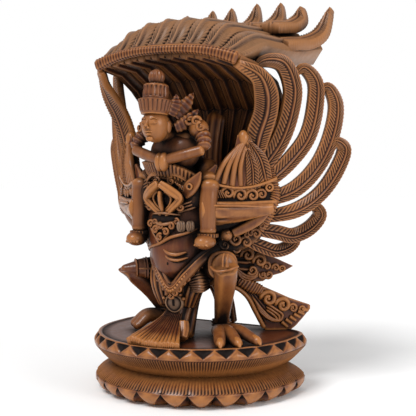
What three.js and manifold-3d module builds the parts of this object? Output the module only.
// A wood carving, 300 mm tall: Vishnu rides on the shoulders of Garuda, under the hood of Garuda's raised tail.
// It is carved from one block with its double lotus plinth, so it is one solid.
// Millimetres. The figures face -Y, +X is their left, +Z is up, and the origin is the middle of the underside.
import * as THREE from "three";
import { mergeVertices } from "three/addons/utils/BufferGeometryUtils.js";
import Module from "manifold-3d";

const wasm = await Module();
wasm.setup();

const WOOD = { color: 0x6b3218, roughness: 0.45, metalness: 0 };

// Driving dimensions.
const PLINTH_RADIUS = 80.5;
const PLINTH_HEIGHT = 43.7;
const PLINTH_BACK = 0.48;
const PETALS = 28;
const HOOD_HALF_WIDTH = 62;
const WING_ANGLE = THREE.MathUtils.degToRad(43.5);
const LEFT = 1;
const RIGHT = -1;
const SIDES = [LEFT, RIGHT];

const at = (x, y, z) => new THREE.Vector3(x, y, z);
const mix = (a, b, t) => a + (b - a) * t;
const clamp01 = (t) => Math.min(1, Math.max(0, t));
const ease = (t) => clamp01(t) ** 2 * (3 - 2 * clamp01(t));
const UP = at(0, 0, 1);
const FRONT = at(0, -1, 0);

// The value of a list of evenly spaced stops at t, from 0 to 1.
function along(stops, t) {
  const place = clamp01(t) * (stops.length - 1);
  const index = Math.min(stops.length - 2, Math.floor(place));
  return mix(stops[index], stops[index + 1], place - index);
}

// A closed three.js geometry as a solid, with its seams merged.
function solid(geometry) {
  const bare = geometry.clone();
  bare.deleteAttribute("normal");
  bare.deleteAttribute("uv");
  const merged = mergeVertices(bare, 1e-3);
  const index = merged.index.array;
  const kept = [];
  for (let i = 0; i < index.length; i += 3) {
    const [a, b, c] = [index[i], index[i + 1], index[i + 2]];
    if (a !== b && b !== c && c !== a) kept.push(a, b, c);
  }
  const mesh = new wasm.Mesh({
    numProp: 3,
    vertProperties: merged.attributes.position.array,
    triVerts: new Uint32Array(kept),
  });
  return new wasm.Manifold(mesh);
}

// Moves each vertex of a geometry to where the function says.
function shaped(geometry, move) {
  const places = geometry.attributes.position;
  for (let i = 0; i < places.count; i++) {
    const p = move(places.getX(i), places.getY(i), places.getZ(i));
    places.setXYZ(i, p.x, p.y, p.z);
  }
  return geometry;
}

// A geometry turned inside out, for one that was made by mirroring.
function flipped(geometry) {
  const turnedOver = geometry.index ? geometry.toNonIndexed() : geometry.clone();
  const places = turnedOver.attributes.position;
  for (let i = 0; i < places.count; i += 3) {
    const [first, last] = [i, i + 2].map((k) => new THREE.Vector3().fromBufferAttribute(places, k));
    places.setXYZ(i, last.x, last.y, last.z);
    places.setXYZ(i + 2, first.x, first.y, first.z);
  }
  return turnedOver;
}

// A round or flat limb along a curve through the points. Each size is [half width, half depth] at its point,
// and face is the way that the depth points.
function limb(points, sizes, { face = FRONT, sides = 5, steps = 3 } = {}) {
  const curve = new THREE.CatmullRomCurve3(points, false, "centripetal");
  const widths = sizes.map((size) => size[0]);
  const depths = sizes.map((size) => size[1]);
  const blank = new THREE.CylinderGeometry(1, 1, 1, sides, steps);
  return solid(
    shaped(blank, (x, y, z) => {
      const t = y + 0.5;
      const tangent = curve.getTangent(t);
      const side = new THREE.Vector3().crossVectors(tangent, face).normalize();
      const out = new THREE.Vector3().crossVectors(side, tangent);
      return curve
        .getPoint(t)
        .addScaledVector(side, x * along(widths, t))
        .addScaledVector(out, z * along(depths, t));
    }),
  );
}

// An egg shape with its half sizes.
function egg(centre, [halfX, halfY, halfZ], { around = 8, rows = 4 } = {}) {
  const geometry = new THREE.SphereGeometry(1, around, rows);
  geometry.rotateX(Math.PI / 2).scale(halfX, halfY, halfZ);
  return solid(geometry.translate(centre.x, centre.y, centre.z));
}

// A slab that follows a surface, half its thickness to each side. u and v run from 0 to 1.
function slab(surface, thickness, { across = 8, down = 8 } = {}) {
  const blank = new THREE.BoxGeometry(1, 1, 1, across, 1, down);
  const step = 0.01;
  return solid(
    shaped(blank, (x, y, z) => {
      const [u, v] = [x + 0.5, z + 0.5];
      const alongU = surface(Math.min(1, u + step), v).sub(surface(Math.max(0, u - step), v));
      const alongV = surface(u, Math.min(1, v + step)).sub(surface(u, Math.max(0, v - step)));
      const normal = alongV.cross(alongU).normalize();
      const depth = typeof thickness === "function" ? thickness(u, v) : thickness;
      return surface(u, v).addScaledVector(normal, y * depth);
    }),
  );
}

// A turned profile of [radius, height] pairs about an upright line, its places changed by a function of the angle.
function turned(profile, { around = 24, centre = at(0, 0, 0), tip = 0, carve = (radius, height) => [radius, height] } = {}) {
  const outline = profile.map(([radius, height]) => new THREE.Vector2(radius, height));
  const geometry = new THREE.LatheGeometry(outline, around);
  shaped(geometry, (x, y, z) => {
    const radius = Math.hypot(x, z);
    if (radius < 1e-6) return at(0, 0, y);
    const angle = Math.atan2(z, x);
    const [carved, height] = carve(radius, y, angle);
    return at(carved * Math.cos(angle), -carved * Math.sin(angle), height);
  });
  geometry.rotateX(THREE.MathUtils.degToRad(tip)).translate(centre.x, centre.y, centre.z);
  return solid(geometry);
}

const join = (solids) => wasm.Manifold.union(solids);

// How far the plinth reaches at an angle round from +X, as a share of its radius. Its back is flattened.
function plinthReach(angle) {
  const back = Math.sin(angle) / PLINTH_BACK;
  return back > 0 ? (Math.abs(Math.cos(angle)) ** 4.5 + back ** 4.5) ** (-1 / 4.5) : 1;
}

// The double lotus plinth. The lower petals hang from a waist and curl in under it, and the upper petals stand up
// from the waist to the edge of the top. Between two petals each row is cut in and lifted to make the notch.
function plinth() {
  const waist = 66;
  const rows = [
    { radius: 0, height: 0 },
    { radius: 69, height: 0.01, notch: [4, 0] },
    { radius: 75.5, height: 1.2, notch: [3.4, 6.2] },
    { radius: PLINTH_RADIUS, height: 8.5, notch: [1, 2.6] },
    { radius: waist, height: 22 },
    { radius: PLINTH_RADIUS + 1, height: 36, notch: [0.8, -0.6] },
    { radius: 79.4, height: 42.4, notch: [3.4, -3.4] },
    { radius: 77, height: PLINTH_HEIGHT },
    { radius: 0, height: PLINTH_HEIGHT + 0.01 },
  ];
  const carve = (radius, height, angle) => {
    const row = rows.find((each) => Math.abs(each.height - height) < 1e-3);
    const notch = Math.round((angle / Math.PI) * PETALS) % 2 !== 0;
    const [inset, lift] = row && row.notch && notch ? row.notch : [0, 0];
    return [(radius - inset) * plinthReach(-angle), height + lift];
  };
  return turned(rows.map((row) => [row.radius, row.height]), { around: PETALS * 2, carve });
}

// A place on the upright sheet of a wing: out from the shoulder, up from the ground, and leaning forward of it.
// Below the elbow the sheet sweeps back.
function wingPlace(side, out, up, lean = 0) {
  const shoulder = { x: 28, y: -38 };
  const sweep = Math.max(0, 138 - up) * 0.6;
  const reach = out + sweep * 0.24;
  const x = shoulder.x + reach * Math.cos(WING_ANGLE) + (lean - sweep) * Math.sin(WING_ANGLE);
  const y = shoulder.y + reach * Math.sin(WING_ANGLE) - (lean - sweep) * Math.cos(WING_ANGLE);
  return at(side * x, y, up);
}

const wingFace = (side) => at(side * Math.sin(WING_ANGLE), -Math.cos(WING_ANGLE), 0);

// The flight feathers from the top one down, each as [out, up, lean] places. A feather leaves the wing's border at
// its root, bows out and upwards, and hooks over at its crest onto the feather above.
const FLIGHT_FEATHERS = [
  { width: 7.6, path: [[36, 180, 1], [38, 193, 3], [42, 210, 8], [40, 223, 15], [33, 234, 21], [14, 243, 28]] },
  { width: 6.8, path: [[38, 166, 0], [54, 188, 0], [62, 211, 2], [63, 228, 4], [55, 246, 7], [39, 246, 9]] },
  { width: 6.2, path: [[40, 155, 0], [61, 173, 0], [76, 192, 0], [82, 214, 0], [81, 234, 2], [69, 243, 4]] },
  { width: 6, path: [[42, 145, 0], [67, 154, 0], [85, 172, 0], [96, 197, 0], [98, 219, 0], [89, 230, 0]] },
  { width: 5.6, path: [[40, 133, 0], [67, 138, 0], [87, 150, -2], [100, 168, -1], [105, 185, 0], [97, 189, 0]] },
  { width: 5.6, path: [[32, 125, 0], [54, 121, -2], [69, 118, -5], [83, 124, -8], [90, 135, -9], [86, 140, -9]] },
  { width: 5, path: [[26, 118, 0], [43, 110, -2], [56, 106, -4], [66, 109, -6], [70, 115, -6], [67, 117, -6]] },
];

function flightFeather(side, { width, path }) {
  const points = path.map(([out, up, lean]) => wingPlace(side, out, up, lean));
  const widths = [width * 0.8, width, width, width, width * 0.75, width * 0.35];
  const face = path[4][2] > 20 ? at(side * 0.35, -0.94, 0) : wingFace(side);
  return limb(points, widths.map((half) => [half, 3.6]), { face, sides: 4, steps: 6 });
}

// A flat panel on the sheet of a wing, cut to an outline of [out, up] places.
function wingPanel(side, outline, front, thickness) {
  const shape = new THREE.Shape(outline.map(([out, up]) => new THREE.Vector2(out, up)));
  const blank = new THREE.ExtrudeGeometry(shape, { depth: thickness, bevelEnabled: false });
  const panel = shaped(blank, (out, up, depth) => wingPlace(side, out, up, front - thickness + depth));
  return side === LEFT ? solid(panel) : solid(flipped(panel));
}

// The short feathers over the root of a wing, in ridged leaves, with the border of scrolls under them.
function wingRoot(side) {
  const face = wingFace(side);
  const leaf = (u, v) => {
    const inner = along([3, 17, 23, 26], v);
    const outer = along([51, 45, 38, 31], v);
    const sag = 6 * Math.sin(Math.PI * u) * (1 - v);
    const pleat = Math.round(u * 8) % 2 ? 2.4 : 0;
    return wingPlace(side, mix(inner, outer, u), mix(159 - sag, 194, v), 2 + pleat);
  };
  const border = (u, v) => {
    const sag = 6 * Math.sin(Math.PI * u);
    return wingPlace(side, mix(1, 52, u), mix(143, mix(160, 163, u) - sag * 0.8, v), 4);
  };
  const scrolls = [0.2, 0.5, 0.8].map((u) => {
    const ring = new THREE.TorusGeometry(4, 1.8, 3, 6);
    ring.rotateX(Math.PI / 2).rotateZ(side * WING_ANGLE);
    const centre = border(u, 0.5).addScaledVector(face, 3.6);
    return solid(ring.translate(centre.x, centre.y, centre.z));
  });
  const backing = [[0, 158], [50, 158], [50, 138], [43, 121], [34, 109], [24, 108], [8, 116], [-6, 126]];
  return join([
    slab(leaf, 6, { across: 8, down: 2 }),
    slab(border, 8, { across: 4, down: 1 }),
    wingPanel(side, backing, 1, 8),
    ...scrolls,
  ]);
}

function wing(side) {
  return join([wingRoot(side), ...FLIGHT_FEATHERS.map((feather) => flightFeather(side, feather))]);
}

// The middle of the hood's thickness, from its front edge at v 0 to its back at v 1. It is pleated into the vanes of
// the tail feathers.
const HOOD_VANES = 8;
const hoodThickness = (v) => 4 + 10 * ease(v / 0.25) + 3 * v;

function hood(u, v) {
  const across = 2 * u - 1;
  const vault = Math.abs(across) ** 2.6;
  const middle = 258 + 20 * ease(v / 0.2) + 6 * v ** 2;
  const border = 249 + 11 * ease(v / 0.3) + 6 * v ** 3;
  const pleat = Math.round(u * HOOD_VANES * 2) % 2 ? 1.4 : -1;
  const y = mix(-54, 68, v) + (4 * v + 3) * vault;
  const x = HOOD_HALF_WIDTH * across * (0.97 + 0.09 * v);
  return at(x, y, mix(middle, border, vault) + pleat * ease(v / 0.1) - hoodThickness(v) / 2);
}

// The raised tail behind the rider, from its root at v 0, up and over to the hood's front edge at v 1.
function tailFan(u, v) {
  const across = 2 * u - 1;
  const depth = along([20, 27, 30, 26, 6, -22, -50], v);
  const height = along([112, 148, 184, 216, 240, 251, 252], v);
  const half = along([10, 20, 40, 63, 65, 62, HOOD_HALF_WIDTH - 1], v);
  const cup = along([2, 4, 7, 6, 5, 2, -2], v);
  const droop = along([0, 0, 0, 2, 9, 9, 6], v);
  const pleat = Math.round(u * 8) % 2 ? 2.4 * ease((v - 0.15) / 0.2) : 0;
  return at(half * across, depth - cup * across ** 2 - pleat, height - droop * across ** 2 - pleat * v);
}

// The tips of the tail feathers at the back of the hood. They stream back and stand up like horns.
const HORN_TIPS = [
  [-70, 70, 290],
  [-50, 68, 294],
  [-26, 69, 297],
  [-7, 67, 298],
  [16, 68, 300],
  [38, 67, 299],
  [58, 62, 295],
  [79, 71, 293],
];

function horn([x, y, z], index) {
  const outer = index === 0 || index === HORN_TIPS.length - 1;
  const crown = outer ? 265 : 279;
  const base = at(x * (outer ? 0.72 : 0.84), 30, crown - 6);
  const bend = at(x * (outer ? 0.86 : 0.93), 55, crown);
  return limb([base, bend, at(x, y, z)], [[14, 7], [12, 6], [1, 0.9]], {
    face: at(0, -0.5, 1),
    sides: 4,
    steps: 2,
  });
}

// The hood over the hollow fan of the tail, and the keel that carries both up from Garuda's back.
function tail() {
  const roof = slab(hood, (u, v) => hoodThickness(v), { across: HOOD_VANES * 2, down: 5 });
  const fan = slab(tailFan, 6, { across: 8, down: 7 });
  const keel = limb(
    [at(0, 8, 100), at(0, 17, 130), at(0, 20, 160), at(0, 22, 190), at(0, 26, 214)],
    [[13, 9], [9, 7], [7, 7], [7, 6], [9, 4]],
  );
  return join([roof, fan, keel, ...HORN_TIPS.map(horn)]);
}

// A place on the upright sheet of the skirt's ends: out and back from the hip, and up from the ground.
function skirtPlace(side, out, up, lift = 0) {
  const angle = THREE.MathUtils.degToRad(38.6);
  const x = 16 + out * Math.cos(angle) + lift * Math.sin(angle);
  const y = 2 + out * Math.sin(angle) - lift * Math.cos(angle);
  return at(side * x, y, up);
}

// One of the pierced ends of the skirt, that sweep back from the hips on edge. Its bosses are curls of cloth.
function skirtEnd(side, outline, bosses) {
  const shape = new THREE.Shape(outline.map(([out, up]) => new THREE.Vector2(out, up)));
  const blank = new THREE.ExtrudeGeometry(shape, { depth: 6, bevelEnabled: false });
  const sheet = shaped(blank, (out, up, depth) => skirtPlace(side, out, up, depth - 3));
  const curls = bosses.map(([out, up, size]) => {
    const curl = new THREE.CylinderGeometry(size * 0.5, size, 9, 6);
    shaped(curl, (x, y, z) => skirtPlace(side, out + x, up + z, y));
    return side === LEFT ? solid(flipped(curl)) : solid(curl);
  });
  return join([side === LEFT ? solid(sheet) : solid(flipped(sheet)), ...curls]);
}

const UPPER_END = [
  [-4, 88],
  [10, 84],
  [21, 81],
  [29, 79.5],
  [34, 82],
  [40, 84],
  [48, 88],
  [57, 93],
  [45, 99],
  [34, 104],
  [20, 108],
  [-4, 112],
];
const LOWER_END = [
  [0, 86],
  [6, 78],
  [15, 76],
  [22, 68],
  [28, 57],
  [36, 43],
  [57, 42.5],
  [60, 46],
  [65, 51],
  [71, 58],
  [71, 62],
  [60, 66],
  [44, 72],
  [29, 79],
  [12, 88],
];

// Garuda's skirt: two ends on each hip, a tail of cloth behind, and the long pleated sash in front.
function skirt() {
  const ends = SIDES.flatMap((side) => [
    skirtEnd(side, UPPER_END, [[20, 97, 7], [40, 93, 5.5]]),
    skirtEnd(side, LOWER_END, [[33, 66, 7], [56, 58, 6]]),
  ]);
  const sash = (u, v) => {
    const half = along([7, 8, 15, 26], v);
    const y = along([-30, -38, -56, -78], v);
    const pleat = Math.round(u * 10) % 2 ? 1.6 : -0.6;
    const z = along([66, 58, 49, 43.5], v) + pleat + 3 * (1 - Math.abs(2 * u - 1)) * (1 - v);
    return at(half * (2 * u - 1) + 2 * v, y + 3 * v * (2 * u - 1) ** 2, z);
  };
  const backCloth = limb(
    [at(0, 10, 98), at(3, 25, 76), at(5, 31, 58), at(5, 32, 43)],
    [[18, 9], [9, 6], [8, 5], [10, 5]],
    { face: at(0, -1, -0.6) },
  );
  const front = limb(
    [at(0, -16, 90), at(3, -26, 72), at(4, -38, 43)],
    [[20, 14], [9, 10], [9.5, 13]],
  );
  const buckle = egg(at(0, -38, 67), [8, 4, 8]);
  const belt = SIDES.map((side) =>
    limb(
      [at(side * 27, -26, 108), at(side * 18, -42, 97), at(side * 7, -41, 85), at(0, -37, 79)],
      [[3.6, 3], [3.6, 3], [3.4, 3], [3.4, 3]],
      { sides: 4 },
    ),
  );
  return join([...ends, slab(sash, 8, { across: 10, down: 3 }), backCloth, front, buckle, ...belt]);
}

// A leg bent in a deep squat, its shin along the places given from the knee down, each with its half width. The hem
// of the breeches stands over the knee, and a ring goes round the ankle.
function leg(side, shinPlaces, shinWidths, hip, hemHeights) {
  const knee = shinPlaces[0];
  const ankle = shinPlaces[shinPlaces.length - 1];
  const bulk = shinWidths[0];
  const thigh = limb([hip, hip.clone().lerp(knee, 0.6), knee], [[14, 11], [11, hemHeights[1]], [bulk, bulk]], {
    face: UP,
    steps: 3,
  });
  const hem = limb([hip.clone().lerp(knee, 0.55), hip.clone().lerp(knee, 0.8)], [[12, hemHeights[0]], [10, hemHeights[1]]], {
    face: UP,
    steps: 1,
  });
  const face = at(side * 0.4, -0.9, 0.1);
  const shin = limb(shinPlaces, shinWidths.map((width) => [width, width]), { face, sides: 7, steps: 4 });
  const ring = limb([ankle.clone().add(at(0, 0, 4)), ankle.clone().add(at(0, 0, -3))], [[7.4, 7.4], [7, 7]], {
    steps: 1,
  });
  return join([thigh, hem, shin, ring]);
}

// A foot with three clawed toes that spread over the plinth, and a heel spur.
function foot(ankle, toes, arch) {
  const instep = ankle.clone().add(at(0, -4, -4));
  const solids = toes.map((toe) => {
    const knuckle = instep.clone().lerp(toe, 0.55).add(at(0, 0, arch));
    return limb([instep, knuckle, toe], [[6.4, 6], [5.6, 5], [1.4, 1.6]], { face: UP, sides: 4, steps: 2 });
  });
  const heel = limb([instep, ankle.clone().add(at(0, 8, -6))], [[6, 5], [3, 3]], { face: UP, sides: 4, steps: 1 });
  return join([...solids, heel]);
}

function legs() {
  const ground = PLINTH_HEIGHT;
  const leftAnkle = at(25, -11, 51);
  const rightAnkle = at(-25, -11, 60);
  const leftShin = [at(44, -38, 98), at(38, -29, 84), at(31, -20, 66), leftAnkle];
  const rightShin = [at(-47, -41, 91.5), at(-39, -32, 89), at(-30, -20, 77), rightAnkle];
  return join([
    leg(LEFT, leftShin, [9, 7.8, 6.2, 5], at(14, -10, 95), [10.5, 9.5]),
    leg(RIGHT, rightShin, [1.2, 6, 6.6, 5.4], at(-14, -10, 93), [8, 6]),
    foot(leftAnkle, [at(50, -57, ground - 1), at(61, -49, ground), at(74, -37, ground)], 5),
    foot(rightAnkle, [at(-37, -38, ground + 1), at(-43, -34, ground + 1), at(-49, -30, ground + 1)], 4),
  ]);
}

// An arm set akimbo. Its sharp elbow points back under the wing's border, and its fist rests on the hip.
function arm(side) {
  const face = wingFace(side);
  const shoulder = wingPlace(side, 0, 137, 5);
  const elbow = wingPlace(side, 48, 139.5, 4);
  const fist = wingPlace(side, 20, 120, 6);
  const upper = limb([shoulder, wingPlace(side, 24, 136, 7), elbow], [[9, 7], [6.6, 6], [1.4, 3]], { face, steps: 2 });
  const fore = limb([elbow, wingPlace(side, 36, 131, 6), fist], [[1.6, 3], [5, 5], [5, 5]], { face, steps: 2 });
  const knot = egg(wingPlace(side, 16, 119, 7), [8, 8, 8]);
  return join([upper, fore, knot]);
}

// The crown over Garuda's brow: a flared band with flutes, higher in front than at the ears.
function garudaCrown() {
  const flutes = 20;
  const band = (u, v) => {
    const angle = THREE.MathUtils.degToRad(mix(-112, 112, u));
    const flute = Math.round(u * flutes) % 2 ? 0.9 : -0.4;
    const radius = mix(23, 28, v) + flute;
    const drop = 12 * (1 - Math.cos(angle));
    return at(radius * Math.sin(angle), -27 - radius * Math.cos(angle), mix(163, 175, v) - drop);
  };
  return slab(band, 4, { across: flutes, down: 1 });
}

// Garuda's head: a wide mask with bulging eyes, an open beak like a lozenge, scrolled cheeks and leaf-shaped ears.
function garudaHead() {
  const skull = egg(at(0, -28, 152), [25, 19, 21], { rows: 5 });
  const frame = SIDES.map((side) =>
    limb(
      [at(0, -47, 160), at(side * 7, -49, 154), at(side * 13, -47, 148), at(side * 8, -50, 141), at(0, -53, 134)],
      [[3.4, 3.6], [3.8, 3.6], [3.8, 4], [3.2, 3.6], [2, 2.6]],
      { sides: 4, steps: 4 },
    ),
  );
  const tongue = limb([at(0, -50, 156), at(0, -54, 148), at(0, -53, 138)], [[3.8, 3], [2.6, 3], [2, 2.4]], {
    sides: 4,
    steps: 2,
  });
  const cheeks = SIDES.map((side) => egg(at(side * 20, -38, 149), [8, 8, 13], { around: 6 }));
  const eyes = SIDES.map((side) => egg(at(side * 14, -44, 160), [5.5, 5, 4.6], { around: 6 }));
  const chin = egg(at(0, -39, 131), [16, 12, 8]);
  const ears = SIDES.map((side) =>
    limb(
      [at(side * 25, -40, 149), at(side * 29, -38, 161), at(side * 36, -36, 174)],
      [[5, 3], [7, 3.4], [1, 1.6]],
      { face: at(side * 0.5, -0.8, 0), sides: 4, steps: 3 },
    ),
  );
  return join([skull, garudaCrown(), ...frame, tongue, ...cheeks, ...eyes, chin, ...ears]);
}

function garudaBody() {
  const torso = limb(
    [at(0, -18, 156), at(0, -27, 137), at(0, -32, 120), at(0, -35, 104), at(0, -32, 90), at(0, -28, 78)],
    [[24, 16], [28, 18], [23, 20], [19.5, 20], [11, 14], [3, 6]],
    { sides: 10, steps: 7 },
  );
  const pelvis = egg(at(0, -8, 94), [28, 20, 17]);
  const back = egg(at(0, 0, 122), [26, 22, 38]);
  const collar = limb(
    [at(-25, -30, 140), at(-16, -46, 127), at(0, -51, 121), at(16, -46, 127), at(25, -30, 140)],
    [[5, 3], [5, 4], [5.5, 4], [5, 4], [5, 3]],
    { sides: 4, steps: 5 },
  );
  return join([torso, pelvis, back, collar]);
}

// The rider sits astride behind Garuda's crown and leans forward over it, with the hands together.
const RIDER_X = 2.5;

function riderBody() {
  const torso = limb(
    [at(RIDER_X, -6, 158), at(RIDER_X, -17, 174), at(RIDER_X, -32, 188), at(RIDER_X, -46, 195)],
    [[15, 12], [12, 9], [15, 9], [15, 6]],
    { face: at(0, -0.5, -0.8), sides: 7 },
  );
  const legsAstride = SIDES.map((side) => {
    const place = (x, y, z) => at(RIDER_X + side * x, y, z);
    return join([
      limb(
        [place(8, -10, 168), place(20, -27, 168), place(29.5, -40, 158)],
        [[9, 8], [8, 7.5], [6.8, 6.8]],
        { face: UP, steps: 2 },
      ),
      limb(
        [place(29.5, -40, 162), place(29.5, -43, 140), place(29.5, -43, 121)],
        [[6.6, 6.4], [6.4, 6], [5.6, 5.6]],
        { sides: 7, steps: 2 },
      ),
      egg(place(29.5, -47, 117), [7, 9.5, 5.6]),
    ]);
  });
  const arms = SIDES.map((side) => {
    const place = (x, y, z) => at(RIDER_X + side * x, y, z);
    return join([
      egg(place(21, -42, 198), [7.5, 7, 7]),
      limb([place(21, -42, 198), place(27, -45, 191), place(30, -49, 183)], [[5.5, 5.5], [5, 5], [4, 4]], { steps: 2 }),
      limb([place(30, -49, 183), place(16, -54, 179), place(0, -57, 175)], [[3.6, 3.8], [4, 4], [4, 4]], {
        face: UP,
        steps: 2,
      }),
    ]);
  });
  const hands = egg(at(RIDER_X, -58, 174), [7, 5, 7], { around: 6 });
  const chest = egg(at(RIDER_X, -40, 181), [20, 12, 15]);
  return join([torso, chest, hands, ...legsAstride, ...arms]);
}

// The rider's head, with a tall tiered crown, and the leaves that spread from behind it over the shoulders.
function riderHead() {
  const neck = limb([at(0, -42, 194), at(0, -56, 195)], [[7, 6], [6, 6]], { face: UP, steps: 1 });
  const face = egg(at(0, -62, 200), [10, 11.5, 12.5], { rows: 5 });
  const nose = limb([at(0, -71, 205), at(0, -75.5, 199)], [[1.2, 1.2], [2.2, 2]], { sides: 4, steps: 1 });
  const profile = [
    [0, -1],
    [9.6, -1],
    [10, 1],
    [12.6, 9],
    [9, 9.6],
    [8.2, 20],
    [4.4, 20.6],
    [5.6, 25],
    [4.8, 29],
    [1.8, 31.4],
    [0, 31.6],
  ];
  const carve = (radius, height, angle) => {
    const flute = height > 0 && height < 9.2 && Math.round((angle / (2 * Math.PI)) * 18) % 2;
    return [radius - (flute ? 0.9 : 0), height];
  };
  const crown = turned(profile, { around: 18, centre: at(0, -63.5, 208.5), tip: -6, carve });
  const leaves = SIDES.flatMap((side) => [
    [at(side * 9, -57, 207), at(side * 12, -55, 215), at(side * 13, -55, 222)],
    [at(side * 10, -52, 205), at(side * 14, -44, 215), at(side * 17, -38, 224)],
    [at(side * 10, -53, 198), at(side * 16, -46, 203), at(side * 21, -38, 212)],
  ]);
  const carvedLeaves = leaves.map((path) =>
    limb(path, [[3.8, 2.6], [5, 2.4], [0.8, 0.8]], { face: at(Math.sign(path[0].x), -0.5, 0), sides: 4, steps: 2 }),
  );
  return join([neck, face, nose, crown, ...carvedLeaves]);
}

const joined = join([
  plinth(),
  tail(),
  skirt(),
  legs(),
  garudaBody(),
  garudaHead(),
  riderBody(),
  riderHead(),
  ...SIDES.flatMap((side) => [wing(side), arm(side)]),
]);

// The carving without the small sealed hollows that are left between joined shapes.
const [carving] = joined.decompose().sort((a, b) => b.volume() - a.volume());

// A solid as a three.js geometry.
function geometryOf(made) {
  const { vertProperties, triVerts } = made.getMesh();
  const geometry = new THREE.BufferGeometry();
  geometry.setAttribute("position", new THREE.BufferAttribute(vertProperties, 3));
  geometry.setIndex(new THREE.BufferAttribute(triVerts, 1));
  geometry.computeVertexNormals();
  return geometry;
}

const mesh = new THREE.Mesh(geometryOf(carving), new THREE.MeshStandardMaterial(WOOD));
mesh.name = "vishnu_on_garuda_carving";
const part = new THREE.Group();
part.add(mesh);

export default part;
